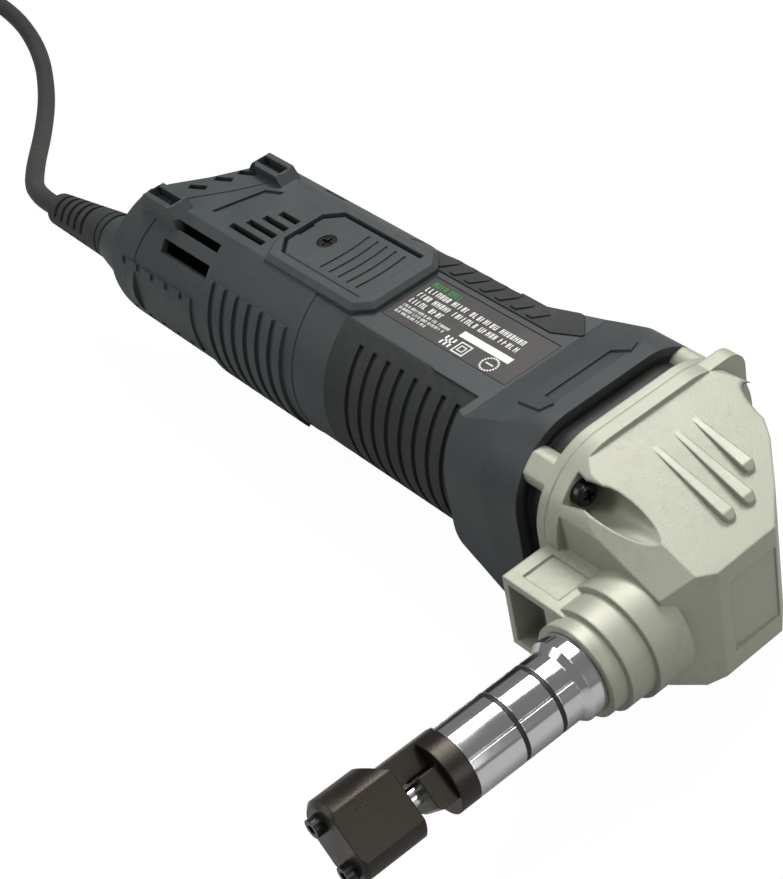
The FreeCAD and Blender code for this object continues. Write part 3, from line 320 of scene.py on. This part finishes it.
finishes = {
    "slatePlastic": {"main": (0.031, 0.038, 0.040), "other": (0.043, 0.051, 0.053), "rough": (0.42, 0.58),
                     "metal": 0.0, "shine": 0.3, "scale": 2600.0, "stretch": (1, 1, 1), "bump": 0.22,
                     "relief": 0.00012,
                     "grime": 0.10, "dirt": (0.10, 0.10, 0.095), "edge": 0.0006},
    "gripRubber": {"main": (0.020, 0.022, 0.023), "other": (0.030, 0.032, 0.032), "rough": (0.62, 0.80),
                   "metal": 0.0, "shine": 0.3, "scale": 3400.0, "stretch": (1, 1, 1), "bump": 0.18,
                   "relief": 0.0001,
                   "grime": 0.16, "dirt": (0.09, 0.085, 0.075), "edge": 0.0005},
    "labelFoil": {"main": (0.040, 0.038, 0.036), "other": (0.046, 0.044, 0.042), "rough": (0.34, 0.46),
                  "metal": 0.0, "shine": 0.3, "scale": 3000.0, "stretch": (1, 1, 1), "bump": 0.05,
                  "relief": 0.00005,
                  "grime": 0.05, "dirt": (0.12, 0.12, 0.11), "edge": 0.0002},
    "castGrey": {"main": (0.315, 0.325, 0.262), "other": (0.37, 0.38, 0.31), "rough": (0.40, 0.55),
                 "metal": 0.25, "scale": 1900.0, "stretch": (1, 1, 1), "bump": 0.30, "relief": 0.00016,
                 "grime": 0.30, "dirt": (0.24, 0.235, 0.19), "edge": 0.0009},
    "castDark": {"main": (0.012, 0.012, 0.012), "other": (0.02, 0.02, 0.02), "rough": (0.45, 0.6),
                 "metal": 0.2, "scale": 2200.0, "stretch": (1, 1, 1), "bump": 0.2, "relief": 0.0001,
                 "grime": 0.1, "dirt": (0.05, 0.05, 0.045), "edge": 0.0006},
    "machinedSteel": {"main": (0.42, 0.41, 0.39), "other": (0.50, 0.49, 0.47), "rough": (0.22, 0.38),
                      "metal": 1.0, "scale": 900.0, "stretch": (0.1, 4, 4), "bump": 0.12, "relief": 0.00006,
                      "grime": 0.15, "dirt": (0.10, 0.08, 0.05), "edge": 0.0004},
    "oiledSteel": {"main": (0.020, 0.017, 0.014), "other": (0.050, 0.044, 0.036), "rough": (0.24, 0.44),
                   "metal": 0.75, "scale": 1300.0, "stretch": (1, 1, 1), "bump": 0.25, "relief": 0.00012,
                   "grime": 0.35, "dirt": (0.045, 0.032, 0.020), "edge": 0.0006},
    "polishedTube": {"main": (0.78, 0.78, 0.79), "other": (0.66, 0.66, 0.68), "rough": (0.08, 0.16),
                     "metal": 1.0, "scale": 700.0, "stretch": (9, 0.25, 9), "bump": 0.05, "relief": 0.00003,
                     "grime": 0.08, "dirt": (0.30, 0.28, 0.24), "edge": 0.0003},
    "blackScrew": {"main": (0.014, 0.014, 0.015), "other": (0.03, 0.03, 0.032), "rough": (0.22, 0.36),
                   "metal": 0.6, "scale": 1500.0, "stretch": (1, 1, 1), "bump": 0.1, "relief": 0.00005,
                   "grime": 0.1, "dirt": (0.10, 0.09, 0.07), "edge": 0.0003},
    "copperWire": {"main": (0.55, 0.20, 0.075), "other": (0.70, 0.30, 0.12), "rough": (0.25, 0.4),
                   "metal": 0.9, "scale": 800.0, "stretch": (0.1, 6, 6), "bump": 0.5, "relief": 0.0003,
                   "grime": 0.1, "dirt": (0.2, 0.08, 0.03), "edge": 0.0006},
    "bronzeBush": {"main": (0.45, 0.29, 0.13), "other": (0.52, 0.35, 0.17), "rough": (0.35, 0.5),
                   "metal": 1.0, "scale": 2500.0, "stretch": (1, 1, 1), "bump": 0.2, "relief": 0.0001,
                   "grime": 0.2, "dirt": (0.1, 0.07, 0.03), "edge": 0.0003},
    "carbon": {"main": (0.012, 0.012, 0.012), "other": (0.02, 0.02, 0.02), "rough": (0.5, 0.7),
               "metal": 0.0, "shine": 0.3, "scale": 2500.0, "stretch": (1, 1, 1), "bump": 0.2,
               "relief": 0.0001,
               "grime": 0.1, "dirt": (0.04, 0.04, 0.04), "edge": 0.0003},
    "blackPlastic": {"main": (0.013, 0.013, 0.014), "other": (0.02, 0.02, 0.021), "rough": (0.42, 0.6),
                     "metal": 0.0, "shine": 0.3, "scale": 2400.0, "stretch": (1, 1, 1), "bump": 0.15,
                     "relief": 0.0001,
                     "grime": 0.1, "dirt": (0.06, 0.06, 0.055), "edge": 0.0004},
    "cordRubber": {"main": (0.022, 0.022, 0.022), "other": (0.032, 0.032, 0.031), "rough": (0.55, 0.72),
                   "metal": 0.0, "shine": 0.3, "scale": 1800.0, "stretch": (1, 1, 1), "bump": 0.12,
                   "relief": 0.0001,
                   "grime": 0.25, "dirt": (0.08, 0.078, 0.07), "edge": 0.0003},
    "coreSteel": {"main": (0.17, 0.17, 0.18), "other": (0.24, 0.24, 0.25), "rough": (0.35, 0.5),
                  "metal": 0.9, "scale": 1800.0, "stretch": (6, 0.05, 0.05), "bump": 0.6, "relief": 0.0003,
                  "grime": 0.1, "dirt": (0.08, 0.06, 0.04), "edge": 0.0003},
    "capacitorCase": {"main": (0.45, 0.34, 0.04), "other": (0.50, 0.38, 0.05), "rough": (0.25, 0.35),
                      "metal": 0.0, "shine": 0.3, "scale": 1500.0, "stretch": (1, 1, 1), "bump": 0.05,
                      "relief": 0.00005,
                      "grime": 0.1, "dirt": (0.2, 0.16, 0.05), "edge": 0.0006},
    "whitePrint": {"main": (0.62, 0.62, 0.60), "other": (0.70, 0.70, 0.68), "rough": (0.45, 0.55),
                   "metal": 0.0, "shine": 0.3, "scale": 2500.0, "stretch": (1, 1, 1), "bump": 0.03,
                   "relief": 0.00003,
                   "grime": 0.15, "dirt": (0.35, 0.35, 0.33), "edge": 0.0001},
    "greenPrint": {"main": (0.035, 0.20, 0.050), "other": (0.05, 0.26, 0.07), "rough": (0.45, 0.55),
                   "metal": 0.0, "shine": 0.3, "scale": 2500.0, "stretch": (1, 1, 1), "bump": 0.03,
                   "relief": 0.00003,
                   "grime": 0.15, "dirt": (0.03, 0.12, 0.04), "edge": 0.0001},
}


def makeFinish(name, look):
    material = bpy.data.materials.new(name)
    material.use_nodes = True
    tree = material.node_tree
    shader = tree.nodes["Principled BSDF"]
    shader.inputs["Metallic"].default_value = look["metal"]
    shader.inputs["Specular IOR Level"].default_value = look.get("shine", 0.5)
    texture = place(tree, "ShaderNodeGroup", node_tree=grain)
    texture.inputs["Scale"].default_value = look["scale"]
    texture.inputs["Stretch"].default_value = look["stretch"]
    dust = place(tree, "ShaderNodeGroup", node_tree=grime)
    dust.inputs["Amount"].default_value = look["grime"]
    tone = place(tree, "ShaderNodeMix", data_type="RGBA")
    tone.inputs["A"].default_value = (*look["main"], 1)
    tone.inputs["B"].default_value = (*look["other"], 1)
    dirty = place(tree, "ShaderNodeMix", data_type="RGBA")
    dirty.inputs["B"].default_value = (*look["dirt"], 1)
    rough = place(tree, "ShaderNodeMapRange")
    rough.inputs["From Min"].default_value = 0.3
    rough.inputs["From Max"].default_value = 0.7
    rough.inputs["To Min"].default_value = look["rough"][0]
    rough.inputs["To Max"].default_value = look["rough"][1]
    edge = place(tree, "ShaderNodeBevel", samples=4)
    edge.inputs["Radius"].default_value = look["edge"]
    bump = place(tree, "ShaderNodeBump")
    bump.inputs["Strength"].default_value = look["bump"]
    bump.inputs["Distance"].default_value = look["relief"]
    join = tree.links.new
    join(texture.outputs["Mask"], tone.inputs["Factor"])
    join(tone.outputs["Result"], dirty.inputs["A"])
    join(dust.outputs["Mask"], dirty.inputs["Factor"])
    join(dirty.outputs["Result"], shader.inputs["Base Color"])
    join(texture.outputs["Mask"], rough.inputs["Value"])
    join(rough.outputs["Result"], shader.inputs["Roughness"])
    join(texture.outputs["Height"], bump.inputs["Height"])
    join(edge.outputs["Normal"], bump.inputs["Normal"])
    join(bump.outputs["Normal"], shader.inputs["Normal"])
    return material


materials = {name: makeFinish(name, look) for name, look in finishes.items()}

nodeFinish = {
    "motor_housing": "slatePlastic", "rear_cover": "slatePlastic", "brush_cover_top": "slatePlastic",
    "brush_cover_bottom": "slatePlastic", "label_plate": "labelFoil", "blank_plate": "labelFoil",
    "belly_grip": "gripRubber", "grip_strips": "gripRubber", "switch_slider": "blackPlastic",
    "brush_cover_screws": "blackScrew", "strain_relief": "gripRubber", "cord_tail": "cordRubber",
    "cord_lead": "cordRubber", "cord_coil": "cordRubber", "cord_clamp": "blackPlastic",
    "cord_clamp_screws": "machinedSteel", "mains_plug": "gripRubber", "plug_pins": "machinedSteel",
    "stator_core": "coreSteel", "field_coils": "copperWire", "armature_shaft": "machinedSteel",
    "rotor_core": "coreSteel", "rotor_windings": "copperWire", "commutator": "copperWire",
    "fan": "blackPlastic", "fan_baffle": "blackPlastic", "bearing_outer_races": "machinedSteel",
    "bearing_inner_races": "machinedSteel", "bearing_balls": "machinedSteel", "brush_holders": "bronzeBush",
    "carbon_brushes": "carbon", "brush_springs": "machinedSteel", "switch_body": "blackPlastic",
    "suppressor": "capacitorCase", "bearing_plate": "castDark", "flange_plate": "castGrey",
    "gear_case": "castGrey", "gear_case_screws": "blackScrew", "motor_pinion": "machinedSteel",
    "layshaft": "machinedSteel", "layshaft_gear": "machinedSteel", "layshaft_pinion": "machinedSteel",
    "crank_shaft": "machinedSteel", "crank_gear": "machinedSteel", "crank_roller": "machinedSteel",
    "carrier_plate": "castDark", "crank_bush": "bronzeBush", "layshaft_bushes": "bronzeBush",
    "crosshead_guides": "machinedSteel", "crosshead": "machinedSteel", "die_tube": "polishedTube",
    "tube_retaining_ring": "machinedSteel", "tube_seal_rings": "blackPlastic", "punch_guide": "oiledSteel",
    "die_holder": "oiledSteel", "die_insert": "machinedSteel", "die_screws": "blackScrew",
    "ram": "machinedSteel", "punch": "polishedTube", "punch_screw": "blackScrew",
}


def dress(piece, finish):
    piece.data.materials.clear()
    piece.data.materials.append(materials[finish])


for node, finish in nodeFinish.items():
    dress(nodes[node], finish)
dress(cord, "cordRubber")
print("stage: materials")


# rating plate print

printSettings = {
    "top": 0.00012,
    "rows": [
        # start from the plate's rear end, place across, letter height, length, finish, seed
        (0.0024, 0.0078, 0.0020, 0.0115, "greenPrint", 3),
        (0.0024, 0.0050, 0.0021, 0.0430, "whitePrint", 5),
        (0.0024, 0.0018, 0.0021, 0.0415, "whitePrint", 8),
        (0.0024, -0.0013, 0.0021, 0.0150, "whitePrint", 13),
        (0.0024, -0.0040, 0.0011, 0.0200, "whitePrint", 21),
        (0.0024, -0.0056, 0.0011, 0.0190, "whitePrint", 34),
        (0.0024, -0.0072, 0.0011, 0.0130, "whitePrint", 55),
    ],
}


def addBar(corners, sides, x0, x1, y0, y1, z0, z1):
    first = len(corners)
    corners += [(x0, y0, z0), (x1, y0, z0), (x1, y1, z0), (x0, y1, z0),
                (x0, y0, z1), (x1, y0, z1), (x1, y1, z1), (x0, y1, z1)]
    for side in [(3, 2, 1, 0), (4, 5, 6, 7), (0, 1, 5, 4), (1, 2, 6, 5), (2, 3, 7, 6), (3, 0, 4, 7)]:
        sides.append(tuple(first + k for k in side))


def meshPiece(name, corners, sides, finish, body):
    mesh = bpy.data.meshes.new(name)
    mesh.from_pydata(corners, [], sides)
    mesh.update()
    piece = bpy.data.objects.new(name, mesh)
    bpy.context.scene.collection.objects.link(piece)
    dress(piece, finish)
    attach(piece, body)
    return piece


def wordRow(corners, sides, x, y, size, length, seed, z0, z1):
    # rows of short strokes that stand for wording without being any
    pick = random.Random(seed)
    end = x + length
    word = pick.randint(3, 8)
    while x < end:
        width = size * pick.choice((0.42, 0.5, 0.58))
        bar = size * 0.17
        addBar(corners, sides, x, x + bar, y - size / 2, y + size / 2, z0, z1)
        if pick.random() < 0.6:
            addBar(corners, sides, x + width - bar, x + width, y - size / 2, y + size / 2, z0, z1)
        level = pick.choice((size / 2 - bar, 0.0, -size / 2))
        addBar(corners, sides, x + bar, x + width - bar, y + level, y + level + bar, z0, z1)
        x += width + size * 0.22
        word -= 1
        if word == 0:
            x += size * 0.5
            word = pick.randint(2, 8)


def makeLabelPrint(settings):
    low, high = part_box("label_plate")
    z0 = high[2]
    z1 = z0 + settings["top"]
    midY = (low[1] + high[1]) / 2
    for finish in ("whitePrint", "greenPrint"):
        corners, sides = [], []
        for start, across, size, length, rowFinish, seed in settings["rows"]:
            if rowFinish == finish:
                wordRow(corners, sides, low[0] + start, midY + across, size, length, seed, z0, z1)
        if finish == "whitePrint":
            makeMarks(markSettings, corners, sides, low[0], midY, z0, z1)
        meshPiece("labelPrint." + finish, corners, sides, finish, "body")


def addFrameMark(corners, sides, x, y, half, bar, z0, z1):
    addBar(corners, sides, x - half, x + half, y - half, y - half + bar, z0, z1)
    addBar(corners, sides, x - half, x + half, y + half - bar, y + half, z0, z1)
    addBar(corners, sides, x - half, x - half + bar, y - half + bar, y + half - bar, z0, z1)
    addBar(corners, sides, x + half - bar, x + half, y - half + bar, y + half - bar, z0, z1)


markSettings = {
    # spans are from, to along the plate and from, to across it
    "strip": (0.0265, 0.0470, -0.0040, -0.0014),
    "squareMiddle": (0.0318, -0.0075),
    "squares": ((0.0024, 0.00045), (0.0012, 0.00035)),    # half size and bar of each
    "bars": (0.0240, 0.0247, -0.0095, -0.0055),
    "barPitch": 0.0016,
    "barCount": 3,
    "crossBar": (0.0240, 0.0279, -0.0078, -0.0072),
    "ringMiddle": (0.0430, -0.0072),
    "ringRadius": 0.0027,
    "ringDots": 20,
    "dotHalf": 0.0003,
    "ringBar": (0.0415, 0.0445, -0.0074, -0.0069),
}


def makeMarks(settings, corners, sides, x0, y0, z0, z1):
    # number strip, two nested squares, a bar mark and a ring
    def addSpan(span, shift=0.0):
        addBar(corners, sides, x0 + span[0] + shift, x0 + span[1] + shift, y0 + span[2], y0 + span[3],
               z0, z1)

    addSpan(settings["strip"])
    squareX, squareY = settings["squareMiddle"]
    for half, bar in settings["squares"]:
        addFrameMark(corners, sides, x0 + squareX, y0 + squareY, half, bar, z0, z1)
    for k in range(settings["barCount"]):
        addSpan(settings["bars"], settings["barPitch"] * k)
    addSpan(settings["crossBar"])
    ringX, ringY = settings["ringMiddle"]
    dot = settings["dotHalf"]
    for k in range(settings["ringDots"]):
        angle = 2 * math.pi * k / settings["ringDots"]
        x = ringX + settings["ringRadius"] * math.cos(angle)
        y = ringY + settings["ringRadius"] * math.sin(angle)
        addSpan((x - dot, x + dot, y - dot, y + dot))
    addSpan(settings["ringBar"])


makeLabelPrint(printSettings)
print("stage: rating plate")


# chevrons moulded on the side strips

chevronSettings = {
    "start": -0.1010,
    "end": -0.0490,
    "pitch": 0.0066,
    "width": 0.0024,
    "lean": 0.0034,
    "height": 0.0005,
    "across": (0.0138, 0.0158, 0.0180, 0.0202, 0.0222),
    "radius": 0.0329,
    "flat": 0.0277,
    "sink": 0.0005,
}


def makeChevrons(settings):
    corners, sides = [], []
    across = settings["across"]
    middle = across[len(across) // 2]
    span = across[-1] - middle
    count = int((settings["end"] - settings["start"]) / settings["pitch"])
    for side in (-1, 1):
        for k in range(count):
            first = len(corners)
            for y in across:
                x = settings["start"] + settings["pitch"] * k + settings["lean"] * (1 - abs(y - middle) / span)
                skin = min(settings["flat"], math.sqrt(settings["radius"] ** 2 - y ** 2))
                for level in (-settings["sink"], settings["height"]):
                    z = axisHeight + side * (skin + level)
                    corners.append((x, y, z))
                    corners.append((x + settings["width"], y, z))
            for step in range(len(across) - 1):
                a = first + 4 * step
                sides += [(a + 2, a + 3, a + 7, a + 6), (a, a + 4, a + 5, a + 1),
                          (a, a + 2, a + 6, a + 4), (a + 1, a + 5, a + 7, a + 3)]
            last = first + 4 * (len(across) - 1)
            sides += [(first, first + 1, first + 3, first + 2), (last, last + 2, last + 3, last + 1)]
    meshPiece("stripChevrons", corners, sides, "gripRubber", "body")


makeChevrons(chevronSettings)
print("stage: chevrons")

bpy.context.view_layer.update()
